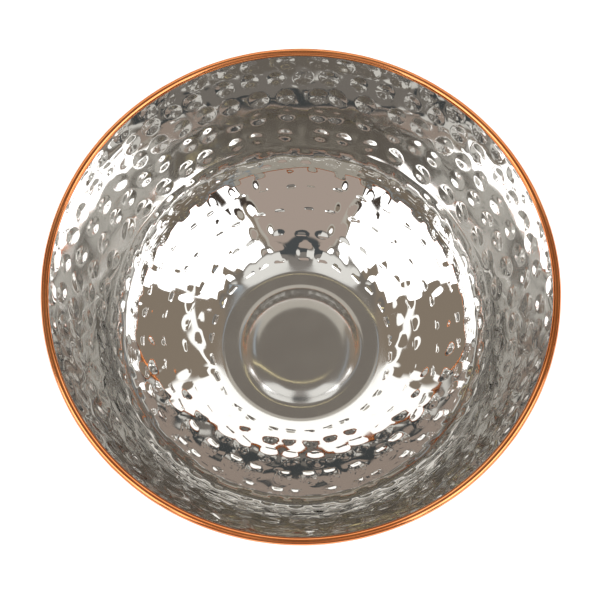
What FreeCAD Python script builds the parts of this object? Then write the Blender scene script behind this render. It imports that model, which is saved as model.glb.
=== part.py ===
"""Hammered serving bowl: a polished steel liner nested in a copper shell, with a copper bead rolled over
a steel wire and over the edges of both skins. Millimetres and degrees. +Z is up, and the origin is the
centre of the circle that the bowl stands on."""
import FreeCAD, Part
import math
import os

import Sketcher

# name, value, what it measures
SIZES = (
    ("rim_diameter", 280.0, "outside of the rolled bead"),
    ("overall_height", 116.0, "table to the top of the bead"),
    ("bead_diameter", 4.3, "rolled bead"),
    ("strip_thickness", 0.5, "copper strip that the bead is rolled from"),
    ("slot_width", 1.6, "mouth of the bead, which grips both skins"),
    ("wire_diameter", 2.3, "steel wire inside the bead"),
    ("edge_depth", 1.3, "skins' top edges below the bead's centre"),
    ("liner_thickness", 0.6, "steel sheet"),
    ("shell_thickness", 0.7, "copper sheet"),
    ("skin_gap", 0.05, "between the two sheets"),
    ("seat_radius", 38.5, "inner edge of the flat ring that the bowl stands on"),
    ("crown_height", 3.5, "raised middle of the base above its standing ring"),
    ("crown_radius", 33.4, "rounding from the raised middle down its flank"),
    ("dish_radius", 14.6, "rounding from the flank out to the standing ring"),
    ("corner_radius", 10.6, "rounding from the standing ring up to the floor"),
    ("floor_radius", 185.0, "gentle curve of the floor"),
    ("knuckle_radius", 46.0, "turn from the floor up to the wall"),
    ("corner_slope", 18.5, "where the floor starts"),
    ("floor_slope", 35.0, "where the knuckle starts"),
    ("wall_slope", 67.6, "where the wall starts"),
    ("rim_slope", 68.6, "where the wall enters the bead"),
)
V_AXIS = -2  # a sketch's own vertical axis, as its constraints number it
ORIGIN = (-1, 1)
START, END, CENTRE = 1, 2, 3


def add_sizes(doc):
    """The driving dimensions as one spreadsheet, with an alias for each."""
    sheet = doc.addObject("Spreadsheet::Sheet", "dims")
    for row, (name, value, meaning) in enumerate(SIZES, 1):
        sheet.set(f"A{row}", name)
        sheet.set(f"B{row}", str(value))
        sheet.set(f"C{row}", meaning)
        sheet.setAlias(f"B{row}", name)
    doc.recompute()
    return {name: value for name, value, _ in SIZES}


def add_body(doc, name):
    """A body with one sketch on its XZ plane, ready to be turned about Z."""
    body = doc.addObject("PartDesign::Body", name)
    body.Label = name
    sketch = body.newObject("Sketcher::SketchObject", f"{name}_section")
    plane = next(f for f in body.Origin.OriginFeatures if f.Role == "XZ_Plane")
    sketch.AttachmentSupport = [(plane, "")]
    sketch.MapMode = "FlatFace"
    return body, sketch


def turn(body, sketch):
    """Revolves the sketch once round the Z axis."""
    turned = body.newObject("PartDesign::Revolution", f"{body.Name}_turned")
    turned.Profile = sketch
    turned.ReferenceAxis = (sketch, ["V_Axis"])
    turned.Angle = 360.0
    sketch.Visibility = False
    body.Tip = turned
    return body


def bind(sketch, kind, *args):
    """A dimension constraint whose last argument is the expression that drives it."""
    *where, expression = args
    unit = "deg" if kind == "Angle" else "mm"
    value = sketch.evalExpression(expression)
    start = math.radians(value) if kind == "Angle" else value
    index = sketch.addConstraint(Sketcher.Constraint(kind, *where, start))
    sketch.setExpression(f"Constraints[{index}]", f"({expression}) * 1 {unit}")


def arc_between(centre, radius, low, high):
    """An arc from angle low to angle high in degrees, anticlockwise from +X."""
    circle = Part.Circle(FreeCAD.Vector(*centre, 0), FreeCAD.Vector(0, 0, 1), radius)
    return Part.ArcOfCircle(circle, math.radians(low), math.radians(high))


def line_between(start, end):
    return Part.LineSegment(FreeCAD.Vector(*start, 0), FreeCAD.Vector(*end, 0))


def section_curves(size, inward):
    """The bowl's section from the axis to the rim, moved inward from the surface where the skins meet.

    Its parts are the raised middle, crown and dish roundings, standing ring, corner, floor, knuckle and
    wall. The slopes at their joints and their radii place each centre.
    """
    meet = size["shell_thickness"] + size["skin_gap"] / 2
    crown, dish = size["crown_radius"], size["dish_radius"]
    flank = math.degrees(math.acos(1 - size["crown_height"] / (crown + dish)))
    middle = size["seat_radius"] - (crown + dish) * math.sin(math.radians(flank))
    top = meet + size["crown_height"]
    bead = size["rim_diameter"] / 2 - size["bead_diameter"] / 2
    rim = size["overall_height"] - size["bead_diameter"] / 2

    def step(radius, low, high):
        low, high = math.radians(low), math.radians(high)
        return radius * (math.sin(high) - math.sin(low)), radius * (math.cos(low) - math.cos(high))

    bends = [
        (size["corner_radius"], 0.0, size["corner_slope"]),
        (size["floor_radius"], size["corner_slope"], size["floor_slope"]),
        (size["knuckle_radius"], size["floor_slope"], size["wall_slope"]),
    ]
    climbed = sum(step(*bend)[1] for bend in bends)
    wall_rise = step(1.0, size["wall_slope"], size["rim_slope"])[1]
    bends.append(((rim - meet - climbed) / wall_rise, size["wall_slope"], size["rim_slope"]))
    ring_end = bead - sum(step(*bend)[0] for bend in bends)

    curves = [
        line_between((0, top + inward), (middle, top + inward)),
        arc_between((middle, top - crown), crown + inward, 90 - flank, 90),
        arc_between((size["seat_radius"], meet + dish), dish - inward, -90 - flank, -90),
        line_between((size["seat_radius"], meet + inward), (ring_end, meet + inward)),
    ]
    across, height = ring_end, meet
    for radius, low, high in bends:
        tilt = math.radians(low)
        centre = (across - radius * math.sin(tilt), height + radius * math.cos(tilt))
        curves.append(arc_between(centre, radius - inward, low - 90, high - 90))
        moved = step(radius, low, high)
        across += moved[0]
        height += moved[1]
    return curves


MIDDLE, CROWN, DISH, RING, CORNER, FLOOR, KNUCKLE, WALL = range(8)


def join_section(sketch, curves, construction):
    """Adds one section curve, its parts tangent to each other, and returns their numbers."""
    ids = [sketch.addGeometry(curve, construction) for curve in curves]
    heads = [START] * len(ids)
    tails = [END] * len(ids)
    heads[CROWN], tails[CROWN] = END, START
    for index in range(len(ids) - 1):
        joint = (ids[index], tails[index], ids[index + 1], heads[index + 1])
        sketch.addConstraint(Sketcher.Constraint("Tangent", *joint))
    sketch.addConstraint(Sketcher.Constraint("PointOnObject", ids[MIDDLE], START, V_AXIS))
    sketch.addConstraint(Sketcher.Constraint("Horizontal", ids[MIDDLE]))
    sketch.addConstraint(Sketcher.Constraint("Horizontal", ids[RING]))
    return ids


def add_meeting_line(sketch, size):
    """The construction line where the two skins meet, held by the driving dimensions."""
    ids = join_section(sketch, section_curves(size, 0.0), True)
    meet = "dims.shell_thickness + dims.skin_gap / 2"
    bind(sketch, "DistanceY", *ORIGIN, ids[RING], START, meet)
    bind(sketch, "DistanceX", *ORIGIN, ids[RING], START, "dims.seat_radius")
    bind(sketch, "DistanceY", *ORIGIN, ids[MIDDLE], START, f"{meet} + dims.crown_height")
    for part, name in ((CROWN, "crown"), (DISH, "dish"), (CORNER, "corner"), (FLOOR, "floor"),
                       (KNUCKLE, "knuckle")):
        bind(sketch, "Radius", ids[part], f"dims.{name}_radius")
    bind(sketch, "Angle", ids[CORNER], "dims.corner_slope")
    bind(sketch, "Angle", ids[FLOOR], "dims.floor_slope - dims.corner_slope")
    bind(sketch, "Angle", ids[KNUCKLE], "dims.wall_slope - dims.floor_slope")
    bind(sketch, "Angle", ids[WALL], "dims.rim_slope - dims.wall_slope")
    bind(sketch, "DistanceX", *ORIGIN, ids[WALL], END, "dims.rim_diameter / 2 - dims.bead_diameter / 2")
    bind(sketch, "DistanceY", *ORIGIN, ids[WALL], END, "dims.overall_height - dims.bead_diameter / 2")
    return ids


def add_skin_face(sketch, size, meeting, inward):
    """One face of a sheet: a section curve that keeps its distance inward from the meeting line."""
    distance = sketch.evalExpression(inward)
    ids = join_section(sketch, section_curves(size, distance), False)
    for part in (CROWN, DISH, CORNER, FLOOR, KNUCKLE, WALL):
        same_centre = (ids[part], CENTRE, meeting[part], CENTRE)
        sketch.addConstraint(Sketcher.Constraint("Coincident", *same_centre))
    meet = "dims.shell_thickness + dims.skin_gap / 2"
    bind(sketch, "DistanceY", *ORIGIN, ids[RING], START, f"{meet} + {inward}")
    edge = "dims.overall_height - dims.bead_diameter / 2 - dims.edge_depth"
    bind(sketch, "DistanceY", *ORIGIN, ids[WALL], END, edge)
    return ids


def close_gap(sketch, first, second):
    """A straight edge between two corners, each given as a curve's number and its end."""
    start, end = (sketch.getPoint(*corner) for corner in (first, second))
    edge = sketch.addGeometry(Part.LineSegment(start, end), False)
    sketch.addConstraint(Sketcher.Constraint("Coincident", edge, START, *first))
    sketch.addConstraint(Sketcher.Constraint("Coincident", edge, END, *second))
    return edge


def add_skin(doc, size, name, inner, outer):
    """A sheet bowl whose faces lie at two distances inward from the meeting line."""
    body, sketch = add_body(doc, name)
    meeting = add_meeting_line(sketch, size)
    faces = [add_skin_face(sketch, size, meeting, face) for face in (inner, outer)]
    sketch.solve()
    for part, corner in ((WALL, END), (MIDDLE, START)):
        close_gap(sketch, (faces[0][part], corner), (faces[1][part], corner))
    return turn(body, sketch)


def add_bead(doc, size):
    """The copper strip rolled into a bead, open below along the wall where the skins enter it."""
    body, sketch = add_body(doc, "rim_bead")
    centre = ((size["rim_diameter"] - size["bead_diameter"]) / 2,
              size["overall_height"] - size["bead_diameter"] / 2)
    outer = size["bead_diameter"] / 2
    radii = (outer, outer - size["strip_thickness"])
    rings = []
    for radius in radii:
        half_mouth = math.degrees(math.asin(size["slot_width"] / 2 / radius))
        down = size["rim_slope"] - 180
        curve = arc_between(centre, radius, down + half_mouth, down + 360 - half_mouth)
        rings.append(sketch.addGeometry(curve, False))
    sketch.addConstraint(Sketcher.Constraint("Coincident", rings[0], CENTRE, rings[1], CENTRE))
    bind(sketch, "Radius", rings[0], "dims.bead_diameter / 2")
    bind(sketch, "Radius", rings[1], "dims.bead_diameter / 2 - dims.strip_thickness")
    bind(sketch, "DistanceX", *ORIGIN, rings[0], CENTRE, "dims.rim_diameter / 2 - dims.bead_diameter / 2")
    bind(sketch, "DistanceY", *ORIGIN, rings[0], CENTRE, "dims.overall_height - dims.bead_diameter / 2")
    lips = [close_gap(sketch, (rings[0], corner), (rings[1], corner)) for corner in (START, END)]
    for lip in lips:
        bind(sketch, "Angle", lip, "dims.rim_slope")
        bind(sketch, "Distance", rings[0], CENTRE, lip, "dims.slot_width / 2")
    return turn(body, sketch)


def add_wire(doc):
    """The round wire that the strip is rolled over."""
    wire = doc.addObject("Part::Torus", "rim_wire")
    wire.Label = "rim_wire"
    wire.setExpression("Radius1", "dims.rim_diameter / 2 - dims.bead_diameter / 2")
    wire.setExpression("Radius2", "dims.wire_diameter / 2")
    wire.setExpression("Placement.Base.z", "dims.overall_height - dims.bead_diameter / 2")
    return wire


def check(doc, parts):
    """Stops before anything is written if any object failed or any part isn't a sound solid."""
    for item in doc.Objects:
        if {"Invalid", "Error"} & set(item.State):
            raise RuntimeError(f"{item.Name} did not build: {item.State}")
    for part in parts:
        if part.Shape.isNull() or not part.Shape.isValid() or len(part.Shape.Solids) != 1:
            raise RuntimeError(f"{part.Label} is not one sound solid")


def main():
    doc = FreeCAD.newDocument("hammered_bowl")
    size = add_sizes(doc)
    half_gap = "dims.skin_gap / 2"
    parts = [
        add_skin(doc, size, "steel_liner", f"({half_gap} + dims.liner_thickness)", f"({half_gap})"),
        add_skin(doc, size, "copper_shell", f"(-{half_gap})", f"(-{half_gap} - dims.shell_thickness)"),
        add_bead(doc, size),
        add_wire(doc),
    ]
    doc.recompute()
    check(doc, parts)
    os.makedirs("parts", exist_ok=True)
    for part in parts:
        part.Shape.exportStep(f"parts/{part.Label}.step")
        box = part.Shape.optimalBoundingBox(False)
        print(f"{part.Label}: {part.Shape.Volume:.0f} mm3")
        print(f"    radius {box.XMax:.2f}, from z {box.ZMin:.2f} to {box.ZMax:.2f}")


main()
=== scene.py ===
"""Looks of a hammered serving bowl: polished steel inside, copper outside, and a copper bead on the rim.

Metres and radians in the part's own frame: +Z up, origin at the centre of the circle that the bowl stands
on. Each sheet is a turned mesh whose hammer marks are real relief, laid on the section that both sheets
share. A place is a distance along that section from the axis, and a turn is an angle round the axis.
"""
import math

import bpy
import numpy as np
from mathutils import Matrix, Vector


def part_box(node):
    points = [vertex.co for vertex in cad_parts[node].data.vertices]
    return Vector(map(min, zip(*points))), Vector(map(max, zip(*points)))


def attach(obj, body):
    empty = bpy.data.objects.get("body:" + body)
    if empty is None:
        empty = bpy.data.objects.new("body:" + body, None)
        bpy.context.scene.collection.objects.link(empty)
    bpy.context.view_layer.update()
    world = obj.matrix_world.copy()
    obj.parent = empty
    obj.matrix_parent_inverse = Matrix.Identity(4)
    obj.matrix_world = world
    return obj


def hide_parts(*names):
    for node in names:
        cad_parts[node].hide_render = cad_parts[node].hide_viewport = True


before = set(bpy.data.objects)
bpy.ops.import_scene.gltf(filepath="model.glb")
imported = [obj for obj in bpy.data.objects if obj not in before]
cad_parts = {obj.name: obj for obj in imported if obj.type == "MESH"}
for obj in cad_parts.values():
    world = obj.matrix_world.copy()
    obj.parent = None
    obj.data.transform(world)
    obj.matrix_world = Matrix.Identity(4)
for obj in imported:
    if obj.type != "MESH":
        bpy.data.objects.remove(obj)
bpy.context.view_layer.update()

MM = 0.001

# ---- sizes read from the frame -------------------------------------------------------------------------
bead_low, bead_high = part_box("rim_bead")
shell_low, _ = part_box("copper_shell")
liner_low, liner_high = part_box("steel_liner")
RIM_RADIUS = bead_high.x
HEIGHT = bead_high.z
BEAD_RADIUS = (bead_high.z - bead_low.z) / 2
BEAD_CENTRE = (RIM_RADIUS - BEAD_RADIUS, HEIGHT - BEAD_RADIUS)
EDGE_DEPTH = BEAD_CENTRE[1] - liner_high.z
SKIN_GAP = 0.05 * MM
SHELL_THICKNESS = liner_low.z - shell_low.z - SKIN_GAP
MEETING_HEIGHT = SHELL_THICKNESS + SKIN_GAP / 2

# ---- the sheets' section, as in the CAD model ----------------------------------------------------------
# From the axis outwards: a raised middle (crown and dish), a flat standing ring, a small corner, the floor,
# a round knuckle and the wall.
LINER_THICKNESS = 0.6 * MM
SEAT_RADIUS = 38.5 * MM
CROWN_HEIGHT = 3.5 * MM
CROWN_RADIUS = 33.4 * MM
DISH_RADIUS = 14.6 * MM
CORNER_RADIUS = 10.6 * MM
FLOOR_RADIUS = 185 * MM
KNUCKLE_RADIUS = 46 * MM
CORNER_SLOPE, FLOOR_SLOPE, WALL_SLOPE, RIM_SLOPE = (math.radians(a) for a in (18.5, 35.0, 67.6, 68.6))
# The bead is a strip rolled into a tube, with a slot below where both sheets enter it.
STRIP_THICKNESS = 0.5 * MM
SLOT_WIDTH = 1.6 * MM

# ---- hammering -----------------------------------------------------------------------------------------
# For each row of marks: distance along the section from the bead's centre, how many marks, depth of the
# round pits, and height of the lip at each pit's lower side, which only the rows near the base have.
MARK_ROWS = (
    (6.8 * MM, 50, 0.24 * MM, 0.0),
    (19.0 * MM, 52, 0.28 * MM, 0.0),
    (34.0 * MM, 50, 0.34 * MM, 0.0),
    (49.6 * MM, 49, 0.38 * MM, 0.0),
    (65.8 * MM, 43, 0.40 * MM, 0.0),
    (83.0 * MM, 46, 0.36 * MM, 0.09 * MM),
    (98.0 * MM, 37, 0.34 * MM, 0.27 * MM),
    (112.0 * MM, 35, 0.26 * MM, 0.22 * MM),
    (126.5 * MM, 31, 0.26 * MM, 0.06 * MM),
    (142.0 * MM, 29, 0.20 * MM, 0.25 * MM),
)
PIT_RADIUS = 6.6 * MM
# A lip is a short ridge across the section: its place from the pit's centre, its full-height length and
# the length of each fading end, and the widths of the side that rises and the side that falls.
LIP_PLACE = -5.3 * MM
LIP_LENGTH = 3.2 * MM
LIP_END = 1.9 * MM
LIP_STEP = 1.1 * MM
LIP_FALL = 1.1 * MM
# How unevenly the marks were struck: turn as a part of the pitch, place, size, depth, and tilt in radians.
TURN_SPREAD = 0.17
PLACE_SPREAD = 0.35 * MM
SIZE_RANGE = (0.9, 1.08)
DEPTH_RANGE = (0.75, 1.2)
TILT_SPREAD = 0.12
# How far along the section from its row a mark may reach.
MARK_REACH = 1.5 * PIT_RADIUS
# The slow waves between the marks: how many are added up, the height of each, and how far outside the
# standing ring they start and are full.
WAVE_COUNT = 10
WAVE_HEIGHT = 0.012 * MM
WAVE_FADE = (4 * MM, 19 * MM)
# The length over which all relief fades before the edge that the bead holds.
EDGE_FADE = 4 * MM
SEED = 7

# ---- meshes --------------------------------------------------------------------------------------------
# Rings of corners lie a coarse step apart, and a fine step apart within reach of a row of lips. Slopes are
# taken over a nudge to either side.
COARSE_STEP = 1.55 * MM
FINE_STEP = 0.4 * MM
FINE_REACH = 2.1 * MM
NUDGE = 0.04 * MM
PLAIN_RINGS = 26
HAMMERED_COLUMNS = 864
PLAIN_COLUMNS = 240
BEAD_COLUMNS = 480
BEAD_SHIFT = -0.15 * MM
# The name under which a sheet's corners keep how far the hammer drove them, and the depth that counts as 1.
BEATEN = "beaten"
FULL_PIT = 0.3 * MM


def arcs_of_section():
    """(length, curvature, slope at its start) of each arc of the meeting line, from the axis to the rim."""
    flank = math.acos(1 - CROWN_HEIGHT / (CROWN_RADIUS + DISH_RADIUS))
    middle = SEAT_RADIUS - (CROWN_RADIUS + DISH_RADIUS) * math.sin(flank)
    bends = [
        (CORNER_RADIUS, 0.0, CORNER_SLOPE),
        (FLOOR_RADIUS, CORNER_SLOPE, FLOOR_SLOPE),
        (KNUCKLE_RADIUS, FLOOR_SLOPE, WALL_SLOPE),
    ]
    climbed = sum(radius * (math.cos(low) - math.cos(high)) for radius, low, high in bends)
    rise = BEAD_CENTRE[1] - MEETING_HEIGHT - climbed
    bends.append((rise / (math.cos(WALL_SLOPE) - math.cos(RIM_SLOPE)), WALL_SLOPE, RIM_SLOPE))
    ring_end = BEAD_CENTRE[0] - sum(r * (math.sin(high) - math.sin(low)) for r, low, high in bends)
    arcs = [
        (middle, 0.0, 0.0),
        (CROWN_RADIUS * flank, -1 / CROWN_RADIUS, 0.0),
        (DISH_RADIUS * flank, 1 / DISH_RADIUS, -flank),
        (ring_end - SEAT_RADIUS, 0.0, 0.0),
    ]
    arcs += [(radius * (high - low), 1 / radius, low) for radius, low, high in bends]
    return arcs


ARCS = arcs_of_section()
ARC_STARTS = np.concatenate([[0.0], np.cumsum([length for length, _, _ in ARCS])])
RIM_ARC = ARC_STARTS[-1]
WALL_EDGE = RIM_ARC - EDGE_DEPTH / math.sin(RIM_SLOPE)
RING_END = ARC_STARTS[4]


def along_arc(start, travel, curvature, slope):
    """The point reached from start after travel along an arc, and the slope there."""
    end_slope = slope + curvature * travel
    if curvature == 0.0:
        return start[0] + travel * math.cos(slope), start[1] + travel * math.sin(slope), end_slope
    across = (np.sin(end_slope) - math.sin(slope)) / curvature
    up = (math.cos(slope) - np.cos(end_slope)) / curvature
    return start[0] + across, start[1] + up, end_slope


def section(arc):
    """Radius, height, slope and curvature of the meeting line at distances along it from the axis."""
    arc = np.asarray(arc, float)
    radius, height, slope, curvature = (np.zeros_like(arc) for _ in range(4))
    start = (0.0, MEETING_HEIGHT + CROWN_HEIGHT)
    for (length, bend, tilt), begin in zip(ARCS, ARC_STARTS):
        here = arc >= begin - 1e-12
        radius[here], height[here], slope[here] = along_arc(start, arc[here] - begin, bend, tilt)
        curvature[here] = bend
        start = along_arc(start, length, bend, tilt)[:2]
    return radius, height, slope, curvature


def smooth(value):
    """Eases from 0 to 1 as value goes from 0 to 1."""
    value = np.clip(value, 0.0, 1.0)
    return value * value * (3 - 2 * value)


def mark_relief(across, up, size, depth, lip):
    """Relief of one hammer mark: a shallow round pit, and a short lip on its side towards the base."""
    reach = np.clip((across ** 2 + up ** 2) / size ** 2, 0.0, 1.0)
    pit = (1 - reach) ** 2
    beyond = up - LIP_PLACE
    step = smooth(beyond / LIP_STEP + 0.5) * (1 - smooth((beyond - LIP_STEP / 2) / LIP_FALL))
    side = 1 - smooth((np.abs(across) - LIP_LENGTH / 2) / LIP_END)
    return lip * step * side - depth * pit


def row_of_marks(number, distance, count, depth, lip):
    """One row's marks as arrays: place along the section, turn, size, depth, height of the lip and tilt."""
    dice = np.random.RandomState(SEED + number)
    pitch = 2 * math.pi / count
    turns = pitch * (np.arange(count) + dice.uniform(0, 1) + dice.uniform(-TURN_SPREAD, TURN_SPREAD, count))
    places = RIM_ARC - distance + dice.normal(0, PLACE_SPREAD, count)
    sizes = PIT_RADIUS * dice.uniform(*SIZE_RANGE, count)
    depths = depth * dice.uniform(*DEPTH_RANGE, count)
    lips = lip * dice.uniform(*DEPTH_RANGE, count)
    tilts = dice.normal(0, TILT_SPREAD, count)
    return turns, places, sizes, depths, lips, tilts


ROWS = [row_of_marks(i, *row) for i, row in enumerate(MARK_ROWS)]


def marks_relief(arc, turn, radius):
    """Relief of all the marks at points given by their place along the section and their turn."""
    total = np.zeros_like(arc)
    for (distance, count, _, _), (turns, places, sizes, depths, lips, tilts) in zip(MARK_ROWS, ROWS):
        near = np.abs(arc - (RIM_ARC - distance)) < MARK_REACH
        here_arc, here_turn, here_radius = arc[near], turn[near], radius[near]
        first = np.floor((here_turn - turns[0]) / (2 * math.pi / count)).astype(int)
        added = np.zeros_like(here_arc)
        for step in (-1, 0, 1, 2):
            mark = (first + step) % count
            swing = (here_turn - turns[mark] + math.pi) % (2 * math.pi) - math.pi
            across = swing * here_radius
            up = here_arc - places[mark] + tilts[mark] * across
            added += mark_relief(across, up, sizes[mark], depths[mark], lips[mark])
        total[near] += added
    return total


def waves_relief(arc, turn):
    """Slow waves that hand work leaves in the sheet between its marks, fading out towards the base."""
    dice = np.random.RandomState(SEED)
    total = np.zeros_like(arc)
    for _ in range(WAVE_COUNT):
        lobes = dice.randint(9, 34)
        length = dice.uniform(14, 36) * MM
        phase = dice.uniform(0, 2 * math.pi, 2)
        total += np.sin(lobes * turn + phase[0]) * np.sin(2 * math.pi * arc / length + phase[1])
    start, end = WAVE_FADE
    return WAVE_HEIGHT * total * smooth((arc - RING_END - start) / (end - start))


def relief(arc, turn):
    """Relief of the hammered sheet, positive into the bowl, fading out towards the bead."""
    radius = section(arc)[0]
    fade = smooth((WALL_EDGE - arc) / EDGE_FADE)
    return fade * (marks_relief(arc, turn, radius) + waves_relief(arc, turn))


def sheet_points(arc, turn, inward, facing, hammered):
    """Points, normals and relief of one face of a sheet.

    inward is the face's distance from the meeting line, and facing is 1 for a face that looks into the
    bowl and -1 for one that looks out.
    """
    radius, height, slope, curvature = section(arc)
    out, up = np.sin(slope), np.cos(slope)
    lift = np.zeros_like(arc)
    by_arc = np.zeros_like(arc)
    by_turn = np.zeros_like(arc)
    if hammered:
        swing = NUDGE / np.maximum(radius, 5 * MM)
        lift = relief(arc, turn)
        by_arc = (relief(arc + NUDGE, turn) - relief(arc - NUDGE, turn)) / (2 * NUDGE)
        by_turn = (relief(arc, turn + swing) - relief(arc, turn - swing)) / (2 * swing)
    offset = inward + lift
    across = radius - offset * out
    lean_up = by_arc / (1 - curvature * offset)
    lean_round = by_turn / np.maximum(across, MM)
    cos_turn, sin_turn = np.cos(turn), np.sin(turn)
    points = np.stack([across * cos_turn, across * sin_turn, height + offset * up], 1)
    normal_across = -out - lean_up * up
    normal_up = up - lean_up * out
    normals = np.stack([
        normal_across * cos_turn + lean_round * sin_turn,
        normal_across * sin_turn - lean_round * cos_turn,
        normal_up,
    ], 1)
    normals *= facing / np.linalg.norm(normals, axis=1, keepdims=True)
    return points, normals, lift


def stitch(first, first_count, second, second_count):
    """Faces between two rings of corners, which may have different counts. A count of 1 is a pole."""
    if first_count == second_count:
        turned = [(i, (i + 1) % first_count) for i in range(first_count)]
        return [(first + i, second + i, second + j, first + j) for i, j in turned]
    faces = []
    i = j = 0
    first_steps = first_count if first_count > 1 else 0
    second_steps = second_count if second_count > 1 else 0
    while i < first_steps or j < second_steps:
        corner = (first + i % first_count, second + j % second_count)
        first_next = (i + 1) / first_count if i < first_steps else math.inf
        second_next = (j + 1) / second_count if j < second_steps else math.inf
        if second_next <= first_next:
            j += 1
            faces.append((corner[0], corner[1], second + j % second_count))
        else:
            i += 1
            faces.append((corner[0], corner[1], first + i % first_count))
    return faces


def turned_mesh(name, points, normals, counts, closed=False):
    """An object from rings of points, each ring joined to the next and closed to the first if asked."""
    starts = np.concatenate([[0], np.cumsum(counts)]).astype(int)
    links = [(k, k + 1) for k in range(len(counts) - 1)]
    if closed:
        links.append((len(counts) - 1, 0))
    faces = []
    for a, b in links:
        faces += stitch(int(starts[a]), int(counts[a]), int(starts[b]), int(counts[b]))
    mesh = bpy.data.meshes.new(name)
    mesh.from_pydata(points.tolist(), [], faces)
    mesh.shade_smooth()
    mesh.normals_split_custom_set_from_vertices(normals.tolist())
    piece = bpy.data.objects.new(name, mesh)
    bpy.context.scene.collection.objects.link(piece)
    return piece


def ring_places():
    """Places of a hammered face's rings, from the axis to the sheet's edge, close together at the lips."""
    lip_places = [RIM_ARC - distance + LIP_PLACE for distance, _, _, lip in MARK_ROWS if lip]
    places = [0.0, 1.5 * MM]
    while places[-1] < WALL_EDGE - COARSE_STEP:
        here = places[-1]
        gap = min(abs(here + COARSE_STEP - place) for place in lip_places)
        places.append(here + (FINE_STEP if gap < FINE_REACH else COARSE_STEP))
    return places + [WALL_EDGE]


def columns_at(arc, hammered):
    """How many corners a ring has: one at the pole, and steps near a millimetre on a hammered face."""
    most = HAMMERED_COLUMNS if hammered else PLAIN_COLUMNS
    limits = (
        (0.7 * MM, 1),
        (8 * MM, 48),
        (RING_END, 192),
        (RING_END + 40 * MM, 384),
        (RING_END + 80 * MM, 576),
    )
    return next((min(count, most) for limit, count in limits if arc < limit), most)


def sheet_rings(places, inward, facing, hammered):
    """Points, normals, relief and corner counts of one face of a sheet."""
    counts = [columns_at(place, hammered) for place in places]
    arc = np.repeat(places, counts)
    turn = np.concatenate([2 * math.pi * np.arange(count) / count for count in counts])
    return (*sheet_points(arc, turn, inward, facing, hammered), counts)


def make_sheet(name, shown_inward, hidden_inward, facing):
    """A closed sheet bowl: a hammered face that shows, and a plain one that lies against the other sheet.

    Each corner keeps how far the hammer drove it, from 0 to 1, which the copper reads for its painted
    highlight and shade.
    """
    shown = sheet_rings(ring_places(), shown_inward, facing, True)
    hidden_places = np.concatenate([[0.0], np.linspace(4 * MM, WALL_EDGE, PLAIN_RINGS)])
    hidden = sheet_rings(hidden_places, hidden_inward, -facing, False)
    inner, outer = (shown, hidden) if facing > 0 else (hidden, shown)
    points, normals, lift = (np.concatenate([inner[k], face_back(outer, k)]) for k in range(3))
    sheet = turned_mesh(name, points, normals, inner[3] + outer[3][::-1])
    beaten = sheet.data.attributes.new(BEATEN, "FLOAT", "POINT")
    beaten.data.foreach_set("value", np.clip(-lift / FULL_PIT, 0.0, 1.0))
    return sheet


def face_back(face, index):
    """One array of a face's rings, in the order from the edge back to the axis."""
    blocks = np.split(face[index], np.cumsum(face[3])[:-1])
    return np.concatenate(blocks[::-1])


def make_bead():
    """The copper strip rolled round the wire, open below where both sheets enter it."""
    inner_radius = BEAD_RADIUS - STRIP_THICKNESS
    section_points = []
    for radius, steps, way in ((BEAD_RADIUS, 40, 1), (inner_radius, 16, -1)):
        half_mouth = math.asin(SLOT_WIDTH / 2 / radius)
        angles = np.linspace(half_mouth, 2 * math.pi - half_mouth, steps) + RIM_SLOPE - math.pi
        section_points += [(radius, angle, way) for angle in angles[::-way]]
    counts = [BEAD_COLUMNS] * len(section_points)
    turn = np.tile(2 * math.pi * np.arange(BEAD_COLUMNS) / BEAD_COLUMNS, len(section_points))
    radius, angle, way = (np.repeat(values, BEAD_COLUMNS) for values in zip(*section_points))
    dice = np.random.RandomState(SEED + 50)
    swell = sum(np.sin(lobes * turn + dice.uniform(0, 6)) for lobes in (17, 29, 43, 61))
    radius = radius * (1 + 0.006 * swell)
    sway = 0.05 * MM * np.sin(5 * turn + 1) + 0.04 * MM * np.sin(11 * turn)
    across = BEAD_CENTRE[0] + BEAD_SHIFT + sway + radius * np.cos(angle)
    points = np.stack([
        across * np.cos(turn),
        across * np.sin(turn),
        BEAD_CENTRE[1] + radius * np.sin(angle),
    ], 1)
    normals = np.stack([
        way * np.cos(angle) * np.cos(turn),
        way * np.cos(angle) * np.sin(turn),
        way * np.sin(angle),
    ], 1)
    return turned_mesh("rim_roll", points, normals, counts, closed=True)


# ---- materials -----------------------------------------------------------------------------------------
STEEL = (0.75, 0.74, 0.722)
COPPER = (0.72, 0.30, 0.155)
BEAD_COPPER = (0.85, 0.33, 0.13)
WIRE_STEEL = (0.55, 0.55, 0.55)
SATIN_EDGE = (46 * MM, 53 * MM)
TONED = (0.86, 0.74, 0.66)
# Colour factors of the painted shade between the bosses of the hammered copper.
BOSS_GAP_SHADE = (0.72, 0.60, 0.54)


def new_material(name, colour, roughness):
    """A plain metal, and its shader for more to be linked to."""
    material = bpy.data.materials.new(name)
    material.use_nodes = True
    shader = material.node_tree.nodes["Principled BSDF"]
    shader.inputs["Base Color"].default_value = (*colour, 1)
    shader.inputs["Metallic"].default_value = 1.0
    shader.inputs["Roughness"].default_value = roughness
    return material, shader


def add(tree, kind, **settings):
    """A node with its properties, and its input values by socket name or number."""
    node = tree.nodes.new(kind)
    inputs = settings.pop("inputs", {})
    for name, value in settings.items():
        setattr(node, name, value)
    for socket, value in inputs.items():
        if isinstance(value, bpy.types.NodeSocket):
            tree.links.new(value, node.inputs[socket])
        else:
            node.inputs[socket].default_value = value
    return node


def add_math(tree, operation, *values):
    """The result of one sum on sockets or numbers."""
    return add(tree, "ShaderNodeMath", operation=operation, inputs=dict(enumerate(values))).outputs[0]


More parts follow.
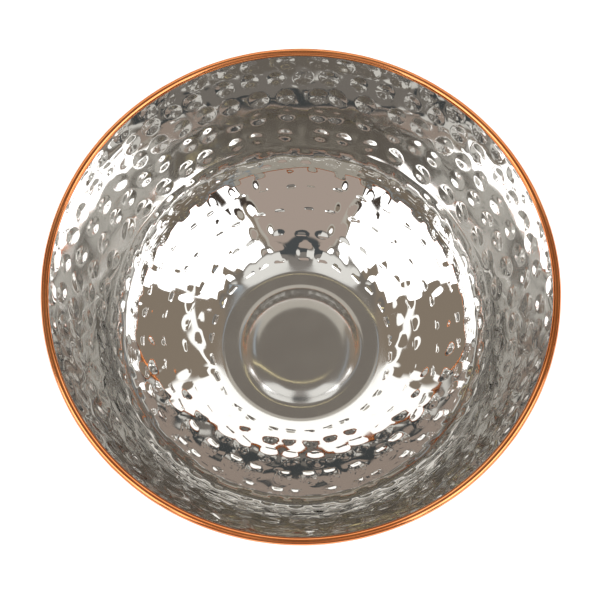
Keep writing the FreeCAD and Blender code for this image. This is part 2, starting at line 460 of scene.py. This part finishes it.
def remap(tree, value, low, high, to_low=0.0, to_high=1.0):
    """Eases from to_low to to_high as value goes from low to high."""
    inputs = {"Value": value, "From Min": low, "From Max": high, "To Min": to_low, "To Max": to_high}
    node = add(tree, "ShaderNodeMapRange", interpolation_type="SMOOTHSTEP", inputs=inputs)
    return node.outputs["Result"]


def noise(tree, spot, scale, detail=3.0, roughness=0.55):
    """A noise value from 0 to 1 at a spot in space."""
    inputs = {"Vector": spot, "Scale": scale, "Detail": detail, "Roughness": roughness}
    return add(tree, "ShaderNodeTexNoise", inputs=inputs).outputs["Fac"]


def mix_colours(tree, factor, first, second):
    """A colour from first to second as factor goes from 0 to 1, each a socket or plain values."""
    node = add(tree, "ShaderNodeMix", data_type="RGBA")
    for index, value in ((0, factor), (6, first), (7, second)):
        if isinstance(value, bpy.types.NodeSocket):
            tree.links.new(value, node.inputs[index])
        else:
            node.inputs[index].default_value = value if index == 0 else (*value, 1)
    return node.outputs[2]


def steel_material():
    """Mirror-polished steel with a satin base, fine turned lines near it and faint smears."""
    material, shader = new_material("polished_steel", STEEL, 0.03)
    tree = material.node_tree
    spot = add(tree, "ShaderNodeTexCoord").outputs["Object"]
    x, y, _ = add(tree, "ShaderNodeSeparateXYZ", inputs={0: spot}).outputs
    x_square = add_math(tree, "MULTIPLY", x, x)
    y_square = add_math(tree, "MULTIPLY", y, y)
    radius = add_math(tree, "SQRT", add_math(tree, "ADD", x_square, y_square))
    satin = remap(tree, radius, *SATIN_EDGE, 1.0, 0.0)
    smears = noise(tree, spot, 60.0)
    grain = noise(tree, spot, 1500.0, 2.0)
    polished = remap(tree, smears, 0.35, 0.75, 0.02, 0.05)
    brushed = remap(tree, smears, 0.3, 0.7, 0.10, 0.16)
    rough = add(tree, "ShaderNodeMix", inputs={0: satin, 2: polished, 3: brushed}).outputs[0]
    tree.links.new(rough, shader.inputs["Roughness"])
    lines = noise(tree, add(tree, "ShaderNodeCombineXYZ", inputs={0: radius}).outputs[0], 2600.0, 2.0)
    marks = add_math(tree, "MULTIPLY", satin, add_math(tree, "ADD", lines, grain))
    bump = add(tree, "ShaderNodeBump", inputs={"Strength": 0.25, "Distance": 0.02 * MM, "Height": marks})
    tree.links.new(bump.outputs[0], shader.inputs["Normal"])
    return material


def copper_material(name, colour, roughness, hammered):
    """Polished copper that has taken an uneven tone, with faint handling marks.

    Hammered copper has a painted highlight on the bosses the hammer raised and painted shade between them.
    """
    material, shader = new_material(name, colour, roughness)
    tree = material.node_tree
    spot = add(tree, "ShaderNodeTexCoord").outputs["Object"]
    tone = noise(tree, spot, 28.0, 4.0)
    darker = tuple(c * s for c, s in zip(colour, TONED))
    tone_and_boss_shading = mix_colours(tree, remap(tree, tone, 0.35, 0.7), colour, darker)
    if hammered:
        # Painted highlight on the bosses the hammer raised and painted shade between them, from how far
        # each corner was beaten.
        boss_highlight_mask = add(tree, "ShaderNodeAttribute", attribute_name=BEATEN).outputs["Fac"]
        painted_gap_shade = tuple(c * s for c, s in zip(colour, BOSS_GAP_SHADE))
        tone_and_boss_shading = mix_colours(tree, remap(tree, boss_highlight_mask, 0.0, 1.0, 0.7, 0.0), tone_and_boss_shading, painted_gap_shade)
    tree.links.new(tone_and_boss_shading, shader.inputs["Base Color"])
    wear = noise(tree, spot, 140.0, 5.0)
    rough = remap(tree, wear, 0.3, 0.75, roughness * 0.7, roughness * 1.5)
    tree.links.new(rough, shader.inputs["Roughness"])
    return material


def wire_material():
    """Drawn steel wire with lines along it."""
    material, shader = new_material("wire_steel", WIRE_STEEL, 0.3)
    tree = material.node_tree
    spot = add(tree, "ShaderNodeTexCoord").outputs["Object"]
    streaks = noise(tree, spot, 900.0, 4.0)
    tree.links.new(remap(tree, streaks, 0.3, 0.7, 0.22, 0.4), shader.inputs["Roughness"])
    return material


# ---- studio --------------------------------------------------------------------------------------------
DARK_ROOM = (0.29, 0.238, 0.185)
DARK_TOP = (0.22, 0.197, 0.172)
FRONT_WALL = (0.484, 0.399, 0.347)
GAP = (0.07, 0.055, 0.045)
STAND = (0.085, 0.093, 0.097)
LIGHT_GREY = (0.554, 0.52, 0.458)
BACK_LIGHT = (1.45, 1.44, 1.39)
SIDE_LIGHT = (3.0, 3.0, 3.0)
HIGH_LIGHT = (0.95, 0.94, 0.9)
HIGH_GREY = (0.27, 0.25, 0.23)
CREAM = (1.5, 1.3, 0.72)
BLUE_GREY = (0.40, 0.44, 0.47)
LOW_DARK = (0.05, 0.045, 0.04)
BACK_FOOT = (0.30, 0.262, 0.23)
PALE = (0.85, 0.84, 0.82)
# Each panel: name, nearest and furthest azimuth from the front in degrees on both sides, lowest and highest
# elevation, colour, and softness of its edges in degrees. Later panels cover earlier ones.
PANELS = (
    ("top", -9, 189, 58, 99, DARK_TOP, 3.0),
    ("back_high", 138, 189, 46, 66, LIGHT_GREY, 4.0),
    ("back_low", 128, 189, 21, 47, BACK_LIGHT, 3.0),
    ("near_boxes", 32, 62, 17, 60, SIDE_LIGHT, 1.0),
    ("far_boxes", 60, 87, 17, 54, SIDE_LIGHT, 1.0),
    ("side_strip", 86, 131, 43, 46.5, BACK_LIGHT, 1.0),
    ("high_boxes", 14, 66, 62, 77, HIGH_LIGHT, 3.0),
    ("high_middle", -9, 13, 66, 79, HIGH_GREY, 3.0),
    ("front", -9, 29, 17, 60, FRONT_WALL, 1.0),
    ("edge", 27, 29, 17, 60, LIGHT_GREY, 1.0),
    ("inner_gap", 29, 33, 17, 44, GAP, 1.5),
    ("outer_gap", 38, 42, 17, 40, GAP, 1.5),
    ("stand", -9, 14, 60, 66, STAND, 1.5),
    ("low", -9, 189, -8, 17, LOW_DARK, 3.0),
    ("back_foot", 128, 189, 3, 21, BACK_FOOT, 2.0),
    ("below", -9, 189, -99, -8, PALE, 3.0),
)
# Each ceiling strip: its left and right ends, near and far ends, and colour. The ceiling is one unit up.
CEILING_STRIPS = (
    (-0.60, 0.14, 0.085, 0.105, CREAM),
    (0.47, 0.53, -0.20, 0.40, BLUE_GREY),
    (-0.50, -0.40, 0.20, 0.60, BLUE_GREY),
)


def within(tree, value, low, high, softness):
    """1 where value lies from low to high, with soft ends."""
    rising = remap(tree, value, low - softness / 2, low + softness / 2)
    falling = remap(tree, value, high - softness / 2, high + softness / 2, 1.0, 0.0)
    return add_math(tree, "MULTIPLY", rising, falling)


def make_studio():
    """A plain white room for the camera and soft light, and softboxes for the bowl's reflections."""
    world = bpy.data.worlds.new("studio")
    bpy.context.scene.world = world
    world.use_nodes = True
    tree = world.node_tree
    way = add(tree, "ShaderNodeTexCoord").outputs["Generated"]
    x, y, z = add(tree, "ShaderNodeSeparateXYZ", inputs={0: way}).outputs
    elevation = add_math(tree, "DEGREES", add_math(tree, "ARCSINE", z))
    front = add_math(tree, "MULTIPLY", y, -1.0)
    azimuth = add_math(tree, "DEGREES", add_math(tree, "ABSOLUTE", add_math(tree, "ARCTAN2", x, front)))
    colour = DARK_ROOM
    for _, near, far, low, high, tint, softness in PANELS:
        mask = add_math(tree, "MULTIPLY", within(tree, azimuth, near, far, softness),
                        within(tree, elevation, low, high, softness))
        colour = mix_colours(tree, mask, colour, tint)
    overhead = add_math(tree, "GREATER_THAN", z, 0.2)
    across = add_math(tree, "DIVIDE", x, z)
    back = add_math(tree, "DIVIDE", y, z)
    for left, right, near, far, tint in CEILING_STRIPS:
        mask = add_math(tree, "MULTIPLY", within(tree, across, left, right, 0.01),
                        within(tree, back, near, far, 0.01))
        colour = mix_colours(tree, add_math(tree, "MULTIPLY", mask, overhead), colour, tint)
    rays = add(tree, "ShaderNodeLightPath").outputs
    plain = add_math(tree, "MAXIMUM", rays["Is Camera Ray"], rays["Is Diffuse Ray"])
    shown = mix_colours(tree, plain, colour, (1.0, 1.0, 1.0))
    background = tree.nodes["Background"]
    tree.links.new(shown, background.inputs["Color"])


def make_floor():
    """A plain pale floor, much wider than any view of the bowl."""
    mesh = bpy.data.meshes.new("floor")
    half = 3.0
    corners = [(-half, -half, 0), (half, -half, 0), (half, half, 0), (-half, half, 0)]
    mesh.from_pydata(corners, [], [(0, 1, 2, 3)])
    floor = bpy.data.objects.new("floor", mesh)
    bpy.context.scene.collection.objects.link(floor)
    material = bpy.data.materials.new("floor")
    material.use_nodes = True
    shader = material.node_tree.nodes["Principled BSDF"]
    shader.inputs["Base Color"].default_value = (0.92, 0.92, 0.92, 1)
    shader.inputs["Emission Color"].default_value = (1, 1, 1, 1)
    shader.inputs["Emission Strength"].default_value = 0.3
    shader.inputs["Roughness"].default_value = 0.6
    shader.inputs["Specular IOR Level"].default_value = 0.2
    mesh.materials.append(material)


# ---- camera --------------------------------------------------------------------------------------------
CAMERA_DISTANCE = 8 * RIM_RADIUS
CAMERA_ELEVATION = math.radians(72.4)
CAMERA_LENS = 125
AIM_RIGHT = -0.4 * MM
AIM_UP = -6.5 * MM


def make_camera():
    """The view from the front, high above the rim, with the bowl a little above the middle."""
    data = bpy.data.cameras.new("camera")
    data.lens = CAMERA_LENS
    data.sensor_width = 36
    camera = bpy.data.objects.new("camera", data)
    bpy.context.scene.collection.objects.link(camera)
    back = Vector((0, -math.cos(CAMERA_ELEVATION), math.sin(CAMERA_ELEVATION)))
    upward = Vector((0, math.sin(CAMERA_ELEVATION), math.cos(CAMERA_ELEVATION)))
    rim_centre = Vector((0, 0, BEAD_CENTRE[1]))
    camera.location = rim_centre + back * CAMERA_DISTANCE
    aim = rim_centre + upward * AIM_UP + Vector((AIM_RIGHT, 0, 0))
    camera.rotation_mode = "QUATERNION"
    camera.rotation_quaternion = (aim - camera.location).to_track_quat("-Z", "Y")
    bpy.context.scene.camera = camera


def put_in_place(piece, node, material):
    """Gives a new piece its material and its body, and hides the CAD node it stands for."""
    piece.data.materials.append(material)
    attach(piece, "root")
    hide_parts(node)


def main():
    """Builds the bowl and its studio."""
    scene = bpy.context.scene
    scene.view_settings.view_transform = "Standard"
    scene.view_settings.look = "None"
    liner = make_sheet("hammered_liner", SKIN_GAP / 2 + LINER_THICKNESS, SKIN_GAP / 2, 1)
    put_in_place(liner, "steel_liner", steel_material())
    shell = make_sheet("hammered_shell", -SKIN_GAP / 2 - SHELL_THICKNESS, -SKIN_GAP / 2, -1)
    put_in_place(shell, "copper_shell", copper_material("copper", COPPER, 0.10, True))
    bead = make_bead()
    put_in_place(bead, "rim_bead", copper_material("bead_copper", BEAD_COPPER, 0.12, False))
    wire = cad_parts["rim_wire"]
    wire.data.materials.clear()
    wire.data.materials.append(wire_material())
    make_floor()
    make_studio()
    make_camera()


main()
